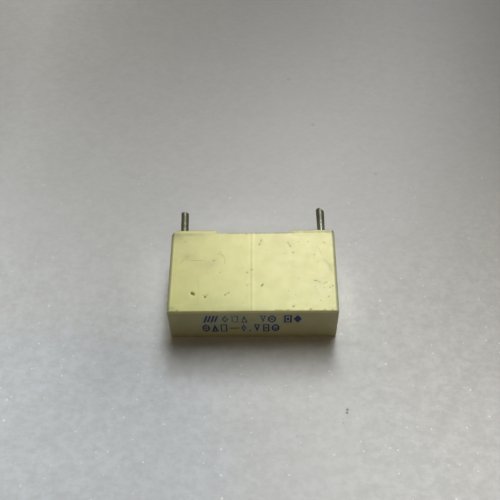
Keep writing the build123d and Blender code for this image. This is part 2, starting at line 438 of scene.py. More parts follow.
X, Y, Z = V[:, 0].copy(), V[:, 1].copy(), V[:, 2].copy()
skin = np.isin(tags, ["near", "skin", "edge", "foot", "rim"])
# rounded corners of the open end, in plan
for side, R in ((-1, R_CORNER_L), (1, R_CORNER_R)):
    cx, cy = side * (HALF - R), Y_FOOT - R
    out = skin & (side * X > HALF - R) & (Y > cy)
    dx, dy = X[out] - cx, Y[out] - cy
    dist = np.hypot(dx, dy)
    pull = np.where(dist > R, R / np.maximum(dist, 1e-9), 1)
    X[out] = cx + dx * pull
    Y[out] = cy + dy * pull

# relief of the large upper face
on_top = (Z > T - 0.06) & np.isin(tags, ["near", "skin", "edge"])
w_top = smooth(T - 0.06, T - 0.002, Z) * on_top
inside_y = smooth(Y_NEAR, Y_NEAR + 0.22, Y)
ridge = 0.0126 * np.exp(-np.abs((X - RIDGE_X - 0.07) / 0.135) ** 2.2) * (0.8 + 0.2 * vnoise(X, Y, Z, 0.8, 3))
ridge += 0.0022 * np.exp(-np.abs((X - RIDGE_X + 0.36) / 0.13) ** 2.2)
sink = -0.012 * np.clip(1 - (X / 8.3) ** 2, 0, 1) * np.clip(1 - (Y / 4.9) ** 2, 0, 1)
wave = 0.0022 * fbm(X, Y, 0 * Z, 2.6, 11, 2) * inside_y
Z += w_top * (ridge * inside_y + sink + wave)
# undulation of the closed end and the end walls
w_face = (tags == "face") | ((tags == "near") & (np.abs(Y - Y_FACE) < 1e-6))
Y += np.where(w_face, 0.002 + 0.002 * fbm(X, 0 * Y, Z, 1.9, 21, 2), 0)

# specks are shallow pits, and the nearest one's distance goes to the material
speck = np.full(len(V), 0.5)
speck_k = np.zeros(len(V))
top_zone = (Z > T - 0.2) & (Y < Y_FOOT + 0.01)
wx = 0.035 * vnoise(X, Y, 0 * Z, 0.16, 31)
wy = 0.035 * vnoise(X, Y, 0 * Z, 0.16, 37)
for (sx, sy, ra, rb, ang, dark) in SPECKS:
    c, s_ = math.cos(math.radians(ang)), math.sin(math.radians(ang))
    near = top_zone & (np.abs(X - sx) < 0.9) & (np.abs(Y - sy) < 0.9)
    dx, dy = X[near] + wx[near] - sx, Y[near] + wy[near] - sy
    u, v = dx * c + dy * s_, -dx * s_ + dy * c
    q = np.hypot(u / ra, v / rb)
    d = (q - 1) * min(ra, rb) * (1 + 0.0 * q)
    d = np.where(q > 1, np.maximum(d, np.hypot(np.maximum(np.abs(u) - ra, 0), np.maximum(np.abs(v) - rb, 0))), d)
    cur = speck[near]
    take = d < cur
    speck[near] = np.where(take, d, cur)
    kk = speck_k[near]
    speck_k[near] = np.where(take, dark, kk)
    dig = 0.014 * dark * np.exp(-np.maximum(d + 0.02, 0) ** 2 / 0.004)
    Z[near] -= dig * smooth(T - 0.2, T - 0.03, Z[near])

scratch, pale = np.zeros(len(V)), np.zeros(len(V))
wx2 = 0.03 * vnoise(X, Y, 0 * Z, 0.5, 43)
for pts, hw, k in SCRATCHES:
    best = np.full(len(V), 9.0)
    for a, b in zip(pts[:-1], pts[1:]):
        d, t = seg_distance(X + wx2, Y + wx2, a, b)
        best = np.minimum(best, d)
    line = np.exp(-(best / (hw * 1.25)) ** 2) * k * (top_zone & (best < 0.5))
    scratch = np.maximum(scratch, line)
    pale = np.maximum(pale, -line)
    Z -= 0.006 * np.maximum(line, 0) * smooth(T - 0.2, T - 0.03, Z)

stain_and_shade = np.zeros(len(V))
for (sx, sy, rx, ry, k) in STAINS:
    stain_and_shade += k * np.exp(-(((X - sx) / rx) ** 2 + ((Y - sy) / ry) ** 2)) * top_zone
stain_and_shade *= 1.0 + 0.45 * fbm(X, Y, 0 * Z, 0.9, 51, 3)

# nicks along the upper edge of the closed end
near_edge = np.isin(tags, ["near", "skin"]) & (Y < Y_NEAR + 0.35) & (Z > T - 0.35)
nick = np.zeros(len(V))
for nx, w, depth in (
    (-7.72, 0.13, 0.034), (-3.1, 0.06, 0.012), (-0.4, 0.10, 0.014), (2.35, 0.16, 0.020), (3.05, 0.12, 0.026), (3.6, 0.13, 0.022),
    (5.89, 0.13, 0.040), (6.5, 0.05, 0.014), (7.28, 0.09, 0.032), (8.06, 0.07, 0.032), (-6.3, 0.07, 0.014), (-5.2, 0.10, 0.012), (1.1, 0.08, 0.012),
):
    nick += depth * np.exp(-(((X - nx) / w) ** 2)) * (0.75 + 0.5 * vnoise(X, Y, Z, 0.06, 61))
edge_w = np.exp(-(((Y - (Y_NEAR + 0.05)) / 0.11) ** 2)) * np.exp(-(((Z - (T - 0.03)) / 0.13) ** 2))
roughen = 0.006 * np.abs(fbm(X, 0 * Y, 0 * Z, 0.35, 71, 3))
Z -= near_edge * edge_w * (nick + roughen)
Y += near_edge * edge_w * (nick + roughen) * 0.8
chip = np.clip(near_edge * edge_w * nick / 0.05, 0, 1)

# the rim between the feet is a little ragged
rag = np.isin(tags, ["edge", "skin"]) & (Y > Y_RIM - 0.12) & (Z > T - 0.3) & (np.abs(X) < 4.6)
rw = np.exp(-(((Y - Y_RIM) / 0.05) ** 2))
ragged = np.clip(fbm(X, 0 * Y, 0 * Z, 0.42, 81, 3) + 0.05, 0, 1)
Z -= rag * rw * 0.05 * ragged
Y -= rag * rw * 0.03 * ragged
# the dark line along the rim between the feet, broken here and there, and where each foot starts, painted shade at its
# step, lip and groove, with blotchy dirt in the darker band
foot_here = np.maximum(smooth(-3.88, -4.03, X), np.clip((X - 3.79) / 0.45, 0, 1))
dash = (1 - 0.35 * smooth(-2.5, -3.3, X)) * np.clip(0.80 + 0.44 * smooth(-1.8, 1.2, X) + 0.7 * fbm(X, 0 * Y, 0 * Z, 0.45, 95, 3), 0.35, 1.35)
rim_line = np.exp(-(((Y - Y_RIM + 0.02) / 0.085) ** 2)) * (1 - foot_here) * dash * 0.93
for rx_, rw_, rk_ in ((-2.75, 0.22, 0.40), (-0.72, 0.17, 1.0), (0.38, 0.14, 0.75), (1.21, 0.09, 0.70), (2.46, 0.16, 0.70), (3.30, 0.12, 0.45), (-1.65, 0.10, 0.35)):
    rim_line = np.maximum(rim_line, rk_ * np.exp(-(((X - rx_) / rw_) ** 2) - ((Y - Y_RIM + 0.07) / 0.12) ** 2))
rim_line *= smooth(T - 0.16, T - 0.07, Z)
blot = np.clip(0.85 + 0.8 * fbm(X, Y, 0 * Z, 0.7, 91, 3), 0.25, 1.3)
far_left = smooth(-4.4, -6.2, X)
band_l = np.exp(-(((Y - Y_RIM + 0.16) / 0.19) ** 2)) * smooth(-3.9, -4.2, X) * (0.26 + 0.44 * far_left)
lip_l = np.exp(-(((Y - Y_FOOT) / 0.075) ** 2)) * smooth(-3.9, -4.2, X) * 0.92
band_r = np.exp(-(((Y - Y_RIM - 0.14) / 0.20) ** 2)) * smooth(3.8, 4.2, X) * smooth(6.7, 6.1, X) * 1.05
lip_r = np.exp(-(((Y - Y_FOOT) / 0.085) ** 2)) * smooth(3.8, 4.2, X) * (1.15 - 0.20 * smooth(6.4, 7.0, X))
groove_r = np.exp(-(((Y - Y_RIM - 0.09) / 0.13) ** 2)) * smooth(6.0, 6.8, X) * (1.0 + 0.5 * smooth(7.3, 7.9, X)) * np.clip(0.98 + 0.9 * fbm(X, 0 * Y, 0 * Z, 0.35, 93, 3), 0.2, 1.2)
slope_r = np.exp(-(((X - 3.98) / 0.20) ** 2)) * smooth(Y_RIM - 0.10, Y_RIM, Y) * 0.8
end_r = np.exp(-(((Y - Y_FOOT) / 0.05) ** 2)) * smooth(3.85, 4.2, X) * smooth(8.7, 8.4, X) * (0.55 + 0.35 * smooth(5.8, 6.6, X)) * top_zone
foot_shade_and_dirt = ((band_l + band_r) * blot + lip_l + lip_r + groove_r + slope_r) * top_zone
# painted highlight along the top of the closed end, weaker to the right
near_top_highlight = np.exp(-(((Z - 5.11) / 0.158) ** 2)) * (Y < Y_NEAR + 0.12) * (1.05 - 0.20 * smooth(-3.0, 6.0, X)) * (1 - 0.45 * smooth(7.9, 8.6, X))

# distance from the long edges and the edges round the closed end, for painted shade on the rounded edges that turn away
# from the light
side_in = HALF - DRAFT * (Y_FOOT - Y) / (Y_FOOT - Y_NEAR) - np.abs(X)          # how far in from the end wall
edge_shade = smooth(0.17, 0.06, side_in) * smooth(T - 0.42, T - 0.20, Z)
edge_shade = np.maximum(edge_shade, 0.95 * smooth(R_LONG + 0.07, 0.17, side_in) * smooth(T - 0.42, T - 0.20, Z))
edge_shade = np.maximum(edge_shade, 0.85 * smooth(R_LONG + 0.13, 0.22, side_in) * smooth(T - 0.42, T - 0.20, Z) * smooth(0.8, 4.2, Y) * (X > 0))
worn_edge = np.exp(-(((side_in - R_LONG - 0.105) / 0.045) ** 2)) * (Z > T - 0.2)
worn_edge = worn_edge * np.where(X < 0, 1.0, 0.35) * np.clip(0.8 + 0.6 * fbm(0 * X, Y, 0 * Z, 0.9, 97, 3), 0.1, 1.2)
worn_edge = worn_edge * np.where(X < 0, smooth(4.2, 2.6, Y), 1.0)
near_face = smooth(Y_NEAR + 0.13, Y_NEAR + 0.03, Y)
# a thin film of ink smeared round the two lines of print, and a slow darkening of that end towards the right
haze = np.zeros(len(V))
for x0, x1, z0, z1 in ((-5.2, -0.5, 3.0, 4.5), (0.7, 2.4, 3.0, 4.5), (3.2, 5.0, 3.0, 4.5), (-5.3, -2.7, 1.1, 2.7), (-1.3, 2.7, 1.1, 2.7)):
    haze = np.maximum(haze, smooth(x0 - 0.35, x0 + 0.15, X) * smooth(x1 + 0.35, x1 - 0.15, X) * smooth(z0 - 0.35, z0 + 0.2, Z) * smooth(z1 + 0.35, z1 - 0.2, Z))
haze *= near_face
# painted fill light: a paler patch low on the left of the closed end
stain_and_shade -= 0.09 * np.exp(-(((X + 2.0) / 2.6) ** 2) - ((Z - 1.0) / 0.45) ** 2) * near_face
stain_and_shade += 0.06 * smooth(0.0, 7.0, X) * near_face * smooth(1.5, 3.0, Z)
# painted shade along the bottom of the closed end, next to the floor
stain_and_shade += 0.085 * smooth(0.85, 0.45, Z) * near_face
# painted highlight beside the witness ridge on the upper face, turning to painted shade towards the closed end
stain_and_shade += (0.025 - 0.070 * smooth(-3.6, -1.2, Y)) * np.exp(-(((X + 0.50 - 0.02 * Y) / 0.14) ** 2)) * top_zone
# painted highlight on the rounded edge above the closed end, stronger to the right
near_arc_highlight = np.exp(-(((Y - (Y_NEAR + 0.11)) / 0.07) ** 2)) * (Z > T - 0.3) * (0.62 + 0.38 * smooth(6.6, 7.6, X))
edge_shade = edge_shade * (1 - 0.85 * near_face)

V = np.column_stack([X, Y, Z])
lo, hi = np.array(case_lo) / MM, np.array(case_hi) / MM
V = np.minimum(np.maximum(V, lo), hi)
case = new_object("case_shell", V, quads)
for n_, a_ in (("speck", speck), ("speck_k", speck_k), ("scratch", scratch), ("stain_and_shade", stain_and_shade), ("chip", chip), ("rim_line", rim_line), ("foot_shade_and_dirt", foot_shade_and_dirt), ("edge_shade", edge_shade), ("worn_edge", worn_edge), ("near_face", near_face), ("near_top_highlight", near_top_highlight), ("near_arc_highlight", near_arc_highlight), ("pale", pale), ("haze", haze), ("end_r", end_r)):
    set_attr(case, n_, a_)
tidy(case)
shade(case, 42)
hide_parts("case")
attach(case, "root")

# ------------------------------------------------------------------ leads
# (the wire's axis: straight out of the resin, then a small lean from just above the feet)
Y_BEND = Y_FOOT + 0.02
Z_MID = 2.65
PITCH = 15.24
LEAD_R = 0.4


def lead_axis(sign, lean, y):
    """Centre of the wire at a given Y."""
    tx, tz = (math.tan(math.radians(a)) for a in lean)
    b = 0.12
    t = np.asarray(y, float) - Y_BEND
    run = np.where(t > b, t, np.where(t < -b, 0, (t + b) ** 2 / (4 * b)))
    return sign * PITCH / 2 + run * tx, Z_MID + run * tz


def make_lead(name, node, sign, lean, out, cut, seed, solder, swell, shift, clean_to):
    """cut: slope of the cut end on the -X half, on the +X half, towards +Z, and a step down at the middle. swell: coat at the base and at the tip."""
    lo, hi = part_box(node)
    y0 = lo.y / MM
    n_a = 56
    ang = np.linspace(0, 2 * math.pi, n_a, endpoint=False)
    y_cut = Y_FOOT + out
    xc, zc = lead_axis(sign, lean, y_cut)
    y_a = 3.9
    rings = []
    for y in np.linspace(y0, y_a, 14):
        rings.append((np.full(n_a, y), np.full(n_a, LEAD_R)))
    n_out = 96

    def cut_y(x, z):
        return y_cut + np.where(x < 0, cut[0], cut[1]) * x - cut[2] * (z - LEAD_R * 0.75) - cut[3] * smooth(0.0, 0.08, x)

    tip_y = cut_y(LEAD_R * np.cos(ang), LEAD_R * np.sin(ang))
    for t in np.linspace(0, 1, n_out + 1)[1:]:
        yy = y_a + t * (tip_y - 0.06 - y_a)
        rings.append((yy, np.full(n_a, LEAD_R)))
    for f in (18, 36, 54, 72, 90):
        a = math.radians(f)
        rings.append((tip_y - 0.06 * (1 - math.sin(a)), np.full(n_a, LEAD_R - 0.045 * (1 - math.cos(a)))))
    for r in (0.31, 0.26, 0.21, 0.15, 0.1, 0.05):
        rings.append((cut_y(r * np.cos(ang), r * np.sin(ang)), np.full(n_a, r)))
    P = []
    n_side = 14 + n_out
    for i, (yy, rr) in enumerate(rings):
        cx, cz = lead_axis(sign, lean, yy)
        ux, uz = np.cos(ang), np.sin(ang)
        exposed = smooth(4.4, 4.9, yy)
        coat = swell[0] + (swell[1] - swell[0]) * smooth(Y_FOOT + 0.5, y_cut, yy)
        px, pz = cx + (rr + coat) * ux + shift, cz + (rr + coat) * uz
        if i < n_side + 3:
            # drawn wire under an uneven coat of tin and what solder was left on it
            lump = fbm(ang * 0 + ux * 1.0 + seed, yy, uz, 0.42, seed, 3)
            bead = np.clip(fbm(ux * 1.0, yy * 1.0, uz, 0.20, seed + 5, 2), 0, 1)
            rr2 = rr + exposed * (coat + solder * (0.008 * lump + 0.012 * bead))
            px, pz = cx + rr2 * ux + shift * exposed, cz + rr2 * uz
            P.append(np.column_stack([px, yy, pz]))
        else:
            # sheared end: one half smooth, the other torn
            torn = smooth(-0.15, 0.15, ux * rr * 0.8 + uz * rr * 0.3)
            dy = -0.018 * np.abs(fbm(px, pz, 0 * px, 0.11, seed + 9, 3)) * (0.35 + 0.65 * torn) - 0.006
            P.append(np.column_stack([px, yy + dy, pz]))
    n = len(P)
    Vv = np.concatenate(P)
    faces = []
    for s in range(n - 1):
        for k in range(n_a):
            k2 = (k + 1) % n_a
            faces.append((s * n_a + k, s * n_a + k2, (s + 1) * n_a + k2, (s + 1) * n_a + k))
    faces.append(tuple(range(n_a - 1, -1, -1)))
    tip = len(Vv)
    Vv = np.concatenate([Vv, [[xc, float(cut_y(0.0, 0.0)) - 0.014, zc]]])
    for k in range(n_a):
        faces.append(((n - 1) * n_a + k, (n - 1) * n_a + (k + 1) % n_a, tip))
    Vv[:, 1] = np.minimum(Vv[:, 1], hi.y / MM)
    ob = new_object(name, Vv, faces)
    cutv = np.zeros(len(Vv))
    cutv[(n_side + 2) * n_a:] = 1.0
    set_attr(ob, "cut", cutv)
    set_attr(ob, "base_clean", smooth(clean_to, clean_to - 1.6, Vv[:, 1]) if clean_to else 0 * cutv)
    tidy(ob)
    shade(ob, 50)
    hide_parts(node)
    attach(ob, "root")
    return ob


left_wire = make_lead("left_wire", "left_lead", -1, (-1.8, 0.0), 4.27, (-0.10, -0.10, 0.20, 0.0), 3, 1.0, (0.028, 0.026), -0.016, 7.3)
right_wire = make_lead("right_wire", "right_lead", 1, (-0.4, 0.8), 4.65, (0.06, -0.40, 0.0, 0.15), 8, 0.45, (0.010, 0.050), -0.030, 8.5)


# ------------------------------------------------------------------ print on the closed end: plain worn shapes
def circle(cx, cz, rx, rz, n=40, a0=0.0, a1=360.0):
    full = abs(a1 - a0) >= 359.9
    t = np.radians(np.linspace(a0, a1, n, endpoint=not full))
    return np.column_stack([cx + rx * np.cos(t), cz + rz * np.sin(t)])


def densify(loop, step=0.05):
    out = []
    n = len(loop)
    for i in range(n):
        a, b = loop[i], loop[(i + 1) % n]
        m = max(1, int(np.ceil(np.hypot(*(b - a)) / step)))
        for j in range(m):
            out.append(a + (b - a) * j / m)
    return np.array(out)


class Ink:
    def __init__(self):
        self.v, self.f, self.wear = [], [], []

    def wobble(self, p):
        return p + 0.014 * np.column_stack([vnoise(p[:, 0], p[:, 1], 0 * p[:, 0], 0.09, 101), vnoise(p[:, 0], p[:, 1], 0 * p[:, 0], 0.09, 107)])

    def solid(self, loop, wear):
        p = self.wobble(densify(np.asarray(loop, float)))
        n, b = len(p), len(self.v)
        self.v += [(x, Y_NEAR, z) for x, z in p] + [(x, Y_NEAR + INK_T + 0.004, z) for x, z in p]
        self.wear += [wear] * (2 * n)
        self.f.append(tuple(range(b, b + n)))
        self.f.append(tuple(range(b + 2 * n - 1, b + n - 1, -1)))
        for i in range(n):
            j = (i + 1) % n
            self.f.append((b + i, b + n + i, b + n + j, b + j))

    def band(self, outer, inner, wear):
        """Closed outline between two loops with the same number of points."""
        o, q = self.wobble(np.asarray(outer, float)), self.wobble(np.asarray(inner, float))
        n, b = len(o), len(self.v)
        for loop, y in ((o, Y_NEAR), (q, Y_NEAR), (o, Y_NEAR + INK_T + 0.004), (q, Y_NEAR + INK_T + 0.004)):
            self.v += [(x, y, z) for x, z in loop]
        self.wear += [wear] * (4 * n)
        for i in range(n):
            j = (i + 1) % n
            self.f += [
                (b + i, b + j, b + n + j, b + n + i),
                (b + 2 * n + j, b + 2 * n + i, b + 3 * n + i, b + 3 * n + j),
                (b + j, b + i, b + 2 * n + i, b + 2 * n + j),
                (b + n + i, b + n + j, b + 3 * n + j, b + 3 * n + i),
            ]


def rect(x0, x1, z0, z1):
    return np.array([(x0, z0), (x1, z0), (x1, z1), (x0, z1)], float)


def rect_band(x0, x1, z0, z1, w):
    o = densify(rect(x0, x1, z0, z1))
    cx, cz = (x0 + x1) / 2, (z0 + z1) / 2
    sx, sz = ((x1 - x0) / 2 - w) / ((x1 - x0) / 2), ((z1 - z0) / 2 - w) / ((z1 - z0) / 2)
    q = np.column_stack([cx + (o[:, 0] - cx) * sx, cz + (o[:, 1] - cz) * sz])
    return o, q


def inset(loop, w):
    """The loop moved inwards by w, side by side."""
    p = np.asarray(loop, float)
    n = len(p)
    area2 = sum(p[i][0] * p[(i + 1) % n][1] - p[(i + 1) % n][0] * p[i][1] for i in range(n))
    sgn = 1.0 if area2 > 0 else -1.0
    out = []
    for i in range(n):
        a, b, c = p[i - 1], p[i], p[(i + 1) % n]
        d1, d2 = (b - a) / np.hypot(*(b - a)), (c - b) / np.hypot(*(c - b))
        n1, n2 = sgn * np.array([-d1[1], d1[0]]), sgn * np.array([-d2[1], d2[0]])
        m = n1 + n2
        out.append(b + m * (w / max(1e-6, 1 + float(n1 @ n2))))
    return np.array(out)


def outline(loop, w, wear, step=0.05):
    """A drawn outline of stroke w, with as many points on the inner loop as on the outer."""
    o, q = np.asarray(loop, float), inset(loop, w)
    oo, qq = [], []
    n = len(o)
    for i in range(n):
        j = (i + 1) % n
        m = max(2, int(np.ceil(np.hypot(*(o[j] - o[i])) / step)))
        for k in range(m):
            oo.append(o[i] + (o[j] - o[i]) * k / m)
            qq.append(q[i] + (q[j] - q[i]) * k / m)
    ink.band(np.array(oo), np.array(qq), wear)


def tri_up(x0, x1, z0, z1):
    return [(x0, z0), (x1, z0), ((x0 + x1) / 2, z1)]


def tri_down(x0, x1, z0, z1):
    return [(x0, z1), ((x0 + x1) / 2, z0), (x1, z1)]


def diamond(x0, x1, z0, z1):
    cx, cz = (x0 + x1) / 2, (z0 + z1) / 2
    return [(cx, z0), (x1, cz), (cx, z1), (x0, cz)]


def hexagon(x0, x1, z0, z1):
    h = (z1 - z0) * 0.27
    cx = (x0 + x1) / 2
    return [(cx, z0), (x1, z0 + h), (x1, z1 - h), (cx, z1), (x0, z1 - h), (x0, z0 + h)]


def slash(x0, x1, z0, z1, lean):
    return [(x0, z0), (x1, z0), (x1 + lean, z1), (x0 + lean, z1)]


ink = Ink()
# upper row: a hatch of slanted bars, then small plain figures, the middle ones nearly rubbed off
for i in range(4):
    ink.solid(slash(-5.16 + 0.36 * i, -4.95 + 0.36 * i, 3.08 + 0.10 * (i % 2), 4.42, 0.34), 0.06 + 0.05 * i)
outline(diamond(-3.22, -2.53, 3.02, 4.46), 0.15, 0.36)
outline(rect(-2.22, -1.51, 3.12, 4.40), 0.14, 0.42)
outline(tri_up(-1.26, -0.56, 3.06, 4.46), 0.14, 0.34)
ink.solid(diamond(-0.24, 0.24, 3.08, 3.72), 0.70)
outline(tri_down(0.72, 1.34, 3.04, 4.44), 0.15, 0.36)
outline(hexagon(1.54, 2.36, 3.00, 4.48), 0.17, 0.14)
ink.solid(diamond(1.80, 2.10, 3.50, 3.98), 0.10)
outline(rect(3.19, 3.99, 3.02, 4.46), 0.18, 0.08)
ink.solid(rect(3.47, 3.71, 3.46, 4.02), 0.06)
outline(diamond(4.16, 5.02, 2.96, 4.52), 0.26, 0.05)
ink.solid(diamond(4.47, 4.71, 3.52, 3.98), 0.06)
# lower row
outline(hexagon(-5.30, -4.53, 1.14, 2.72), 0.19, 0.10)
ink.solid(diamond(-5.06, -4.78, 1.66, 2.20), 0.10)
outline(tri_up(-4.36, -3.60, 1.18, 2.70), 0.20, 0.20)
outline(rect(-3.41, -2.72, 1.20, 2.66), 0.15, 0.30)
ink.solid(rect(-2.46, -1.47, 1.82, 1.99), 0.34)
outline(diamond(-1.24, -0.72, 1.16, 2.70), 0.15, 0.34)
ink.solid(diamond(-0.48, -0.20, 1.12, 1.50), 0.30)
outline(tri_down(0.06, 0.74, 1.16, 2.68), 0.16, 0.26)
outline(rect(1.02, 1.70, 1.16, 2.66), 0.17, 0.22)
ink.solid(diamond(1.22, 1.50, 1.66, 2.16), 0.26)
outline(hexagon(1.94, 2.72, 1.12, 2.72), 0.20, 0.10)
ink.solid(tri_up(2.20, 2.46, 1.64, 2.20), 0.08)

print_marks = new_object("print_marks", np.array(ink.v), ink.f)
set_attr(print_marks, "wear", ink.wear)
bm = bmesh.new()
bm.from_mesh(print_marks.data)
bmesh.ops.recalc_face_normals(bm, faces=bm.faces)
bm.to_mesh(print_marks.data)
bm.free()
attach(print_marks, "root")


# ------------------------------------------------------------------ materials
def srgb(r, g, b):
    out = []
    for c in (r, g, b):
        c /= 255
        out.append(c / 12.92 if c <= 0.04045 else ((c + 0.055) / 1.055) ** 2.4)
    return (*out, 1.0)


class Nodes:
    def __init__(self, name):
        self.mat = bpy.data.materials.new(name)
        self.mat.use_nodes = True
        self.t = self.mat.node_tree
        self.t.nodes.clear()
        self.out = self.n("ShaderNodeOutputMaterial")
        self.p = self.n("ShaderNodeBsdfPrincipled")
        self.l(self.p.outputs[0], self.out.inputs[0])
        co = self.n("ShaderNodeTexCoord")
        sc = self.n("ShaderNodeVectorMath", operation="SCALE")
        sc.inputs["Scale"].default_value = 1000.0
        self.l(co.outputs["Object"], sc.inputs[0])
        self.co = sc.outputs[0]                     # object coordinates in mm

    def n(self, kind, **kw):
        node = self.t.nodes.new(kind)
        for k, v in kw.items():
            setattr(node, k, v)
        return node

    def l(self, a, b):
        self.t.links.new(a, b)

    def put(self, socket, value):
        if hasattr(value, "is_linked") or isinstance(value, bpy.types.NodeSocket):
            self.l(value, socket)
        else:
            socket.default_value = value

    def noise(self, scale, detail=3.0, rough=0.5, distortion=0.0, w=None, vec=None, stretch=None):
        nd = self.n("ShaderNodeTexNoise")
        if w is not None:
            nd.noise_dimensions = "4D"
            nd.inputs["W"].default_value = w
        nd.inputs["Scale"].default_value = scale
        nd.inputs["Detail"].default_value = detail
        nd.inputs["Roughness"].default_value = rough
        nd.inputs["Distortion"].default_value = distortion
        v = vec or self.co
        if stretch:
            m = self.n("ShaderNodeVectorMath", operation="MULTIPLY")
            self.l(v, m.inputs[0])
            m.inputs[1].default_value = stretch
            v = m.outputs[0]
        self.l(v, nd.inputs["Vector"])
        return nd.outputs["Fac"]

    def ramp(self, x, a, b, lo=0.0, hi=1.0, smooth=True):
        r = self.n("ShaderNodeMapRange")
        r.interpolation_type = "SMOOTHSTEP" if smooth else "LINEAR"
        self.put(r.inputs["Value"], x)
        self.put(r.inputs["From Min"], a)
        self.put(r.inputs["From Max"], b)
        self.put(r.inputs["To Min"], lo)
        self.put(r.inputs["To Max"], hi)
        return r.outputs["Result"]

    def math(self, op, a, b=None, clamp=False):
        m = self.n("ShaderNodeMath", operation=op)
        m.use_clamp = clamp
        self.put(m.inputs[0], a)
        if b is not None:
            self.put(m.inputs[1], b)
        return m.outputs[0]

    def mix(self, fac, a, b, mode="MIX"):
        m = self.n("ShaderNodeMix", data_type="RGBA", blend_type=mode)
        self.put(m.inputs[0], fac)
        self.put(m.inputs[6], a)
        self.put(m.inputs[7], b)
        return m.outputs[2]

    def attr(self, name):
        a = self.n("ShaderNodeAttribute", attribute_name=name)
        return a.outputs["Fac"]

    def bump(self, height, strength, distance_mm, normal=None):
        b = self.n("ShaderNodeBump")
        b.inputs["Strength"].default_value = strength
        b.inputs["Distance"].default_value = distance_mm * MM
        self.l(height, b.inputs["Height"])
        if normal is not None:
            self.l(normal, b.inputs["Normal"])
        return b.outputs["Normal"]


CREAM = (0.750, 0.728, 0.290, 1)
CREAM_2 = (0.692, 0.670, 0.253, 1)
# painted shade for the closed end, which faces away from the light
NEAR_SHADE = (0.660, 0.628, 0.960, 1)
DIRT = (0.150, 0.146, 0.012, 1)


def plastic_colour(m):
    """Cream plastic with painted shade that darkens it towards the -X end: slow clouds of tone and a fine grain."""
    c = m.mix(m.ramp(m.noise(0.55, 4.0, 0.55, 0.4, w=1.3), 0.34, 0.66), CREAM, CREAM_2)
    c = m.mix(m.ramp(m.noise(3.2, 3.0, 0.6, 0.2, w=4.1), 0.50, 0.80, 0.0, 0.22), c, srgb(198, 195, 132))
    c = m.mix(m.ramp(m.noise(22.0, 2.0, 0.6, 0.0, w=2.2), 0.60, 0.82, 0.0, 0.10), c, srgb(182, 178, 120))
    sep = m.n("ShaderNodeSeparateXYZ")
    m.l(m.co, sep.inputs[0])
    # painted shade: the plastic darker towards the -X end, along a wandering line
    drift = m.math("MULTIPLY", m.math("SUBTRACT", m.noise(0.22, 2.0, 0.5, 0.6, w=8.4), 0.5), 6.0)
    left_shade = m.ramp(m.math("ADD", sep.outputs[0], drift), -9.0, 8.0, 1.0, 0.0, smooth=False)
    c = m.mix(m.math("MULTIPLY", left_shade, 0.95), c, m.mix(1.0, c, (0.76, 0.765, 0.72, 1), mode="MULTIPLY"))
    c = m.mix(m.ramp(sep.outputs[1], 0.5, -4.5), c, m.mix(1.0, c, (0.965, 1.006, 1.01, 1), mode="MULTIPLY"))
    c = m.mix(m.math("MULTIPLY", m.ramp(sep.outputs[0], 3.0, 7.0), m.ramp(sep.outputs[1], -2.0, 2.0)), c, m.mix(1.0, c, (0.985, 0.980, 0.920, 1), mode="MULTIPLY"))
    c = m.mix(m.ramp(sep.outputs[0], 4.0, 2.0), c, m.mix(1.0, c, (1.0, 1.014, 1.01, 1), mode="MULTIPLY"))
    return c


